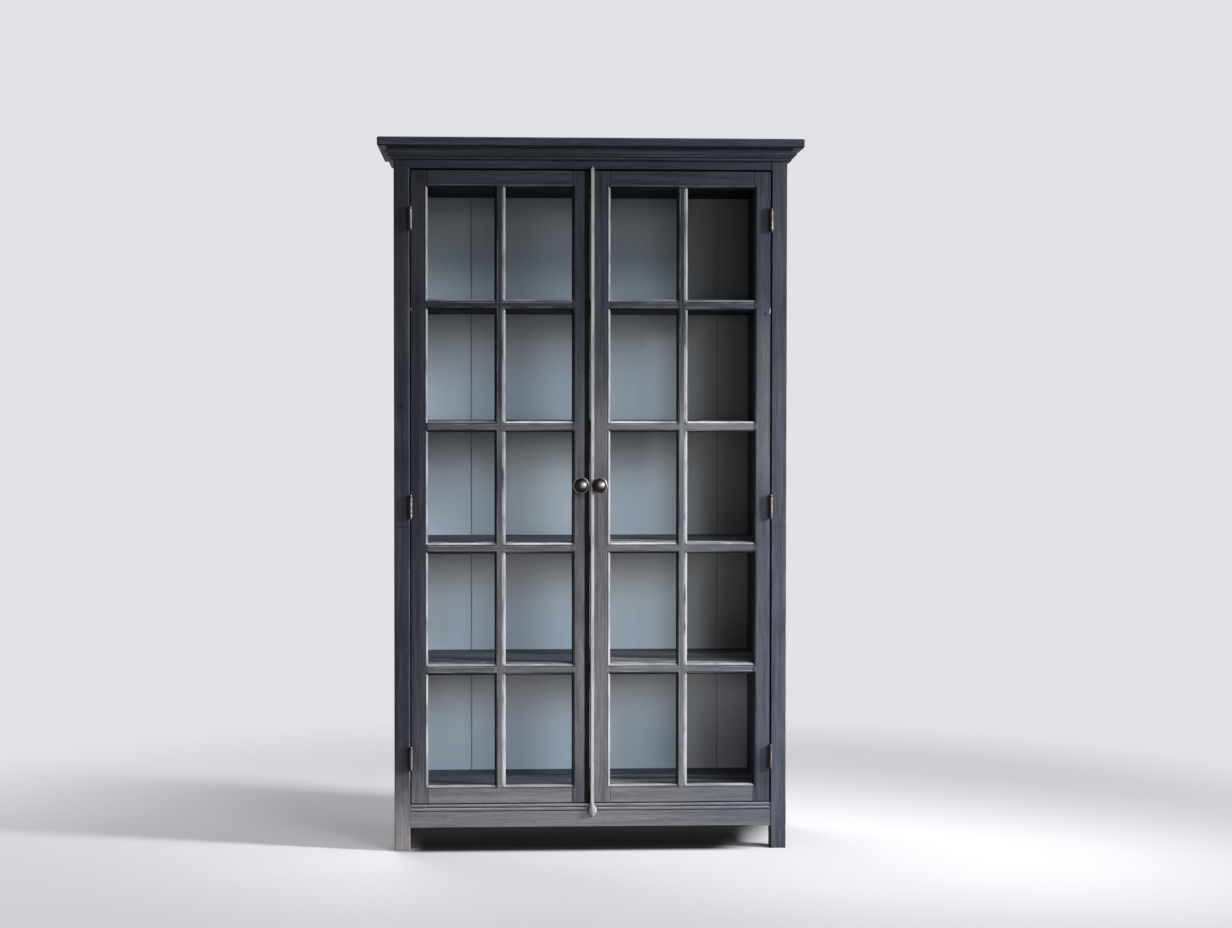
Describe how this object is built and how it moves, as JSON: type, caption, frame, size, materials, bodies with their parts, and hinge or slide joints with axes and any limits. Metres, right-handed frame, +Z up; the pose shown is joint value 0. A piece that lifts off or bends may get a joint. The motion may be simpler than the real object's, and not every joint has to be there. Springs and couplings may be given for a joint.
{
  "type": "display cabinet",
  "caption": "Tall free-standing display cabinet: glazed double doors with glazing bars, shelves, boarded back, reeded crown and top board on post feet.",
  "frame": {"origin": "on the floor, below the middle of the whole object's plan", "axes": "+X to the right as seen from the front, front faces -Y, +Z up"},
  "size_m": [1.134, 0.427, 1.9],
  "materials": {
    "frame_wood": "dark slate-blue stain on open-grained wood, worn pale on the arrises",
    "shelf_wood": "dark grey stain, matt",
    "back_paint": "pale grey-blue paint on boards, matt",
    "glass": "clear window glass",
    "bronze": "dark bronze, worn bright at the rim",
    "hinge_iron": "browned iron, worn at the knuckles",
    "catch_steel": "dull steel"
  },
  "bodies": {
    "carcass": {"post_front_left": "frame_wood", "post_front_right": "frame_wood", "post_rear_left": "frame_wood", "post_rear_right": "frame_wood", "frieze_rail": "frame_wood", "base_rail": "frame_wood", "rear_base_rail": "frame_wood", "side_rail_top_left": "frame_wood", "side_rail_middle_left": "frame_wood", "side_rail_bottom_left": "frame_wood", "side_rail_top_right": "frame_wood", "side_rail_middle_right": "frame_wood", "side_rail_bottom_right": "frame_wood", "side_panel_left": "frame_wood", "side_panel_right": "frame_wood", "side_lining_left": "frame_wood", "side_lining_right": "frame_wood", "ceiling_board": "shelf_wood", "floor_board": "shelf_wood", "shelf_1": "shelf_wood", "shelf_2": "shelf_wood", "shelf_3": "shelf_wood", "shelf_4": "shelf_wood", "back_boards": "back_paint", "top_board": "frame_wood", "crown_front": "frame_wood", "crown_left": "frame_wood", "crown_right": "frame_wood", "door_catch": "catch_steel", "hinge_left_top_frame_leaf": "hinge_iron", "hinge_left_middle_frame_leaf": "hinge_iron", "hinge_left_bottom_frame_leaf": "hinge_iron", "hinge_right_top_frame_leaf": "hinge_iron", "hinge_right_middle_frame_leaf": "hinge_iron", "hinge_right_bottom_frame_leaf": "hinge_iron"},
    "left_door": {"left_door_hinge_stile": "frame_wood", "left_door_meeting_stile": "frame_wood", "left_door_top_rail": "frame_wood", "left_door_bottom_rail": "frame_wood", "left_door_glazing_bars": "frame_wood", "left_door_glass": "glass", "left_door_glazing_bead": "frame_wood", "left_door_knob": "bronze", "left_door_strike": "catch_steel", "hinge_left_top_door_leaf": "hinge_iron", "hinge_left_middle_door_leaf": "hinge_iron", "hinge_left_bottom_door_leaf": "hinge_iron"},
    "right_door": {"right_door_hinge_stile": "frame_wood", "right_door_meeting_stile": "frame_wood", "right_door_top_rail": "frame_wood", "right_door_bottom_rail": "frame_wood", "right_door_glazing_bars": "frame_wood", "right_door_glass": "glass", "right_door_glazing_bead": "frame_wood", "right_door_knob": "bronze", "right_door_strike": "catch_steel", "right_door_meeting_strip": "frame_wood", "hinge_right_top_door_leaf": "hinge_iron", "hinge_right_middle_door_leaf": "hinge_iron", "hinge_right_bottom_door_leaf": "hinge_iron"}
  },
  "joints": [
    {"name": "left_door_hinge", "type": "hinge", "parent": "carcass", "child": "left_door", "pos_m": [-0.48175, -0.1773, 0.95], "axis": [0, 0, -1], "range_deg": [0, 170]},
    {"name": "right_door_hinge", "type": "hinge", "parent": "carcass", "child": "right_door", "pos_m": [0.48175, -0.1773, 0.95], "axis": [0, 0, 1], "range_deg": [0, 170]}
  ]
}
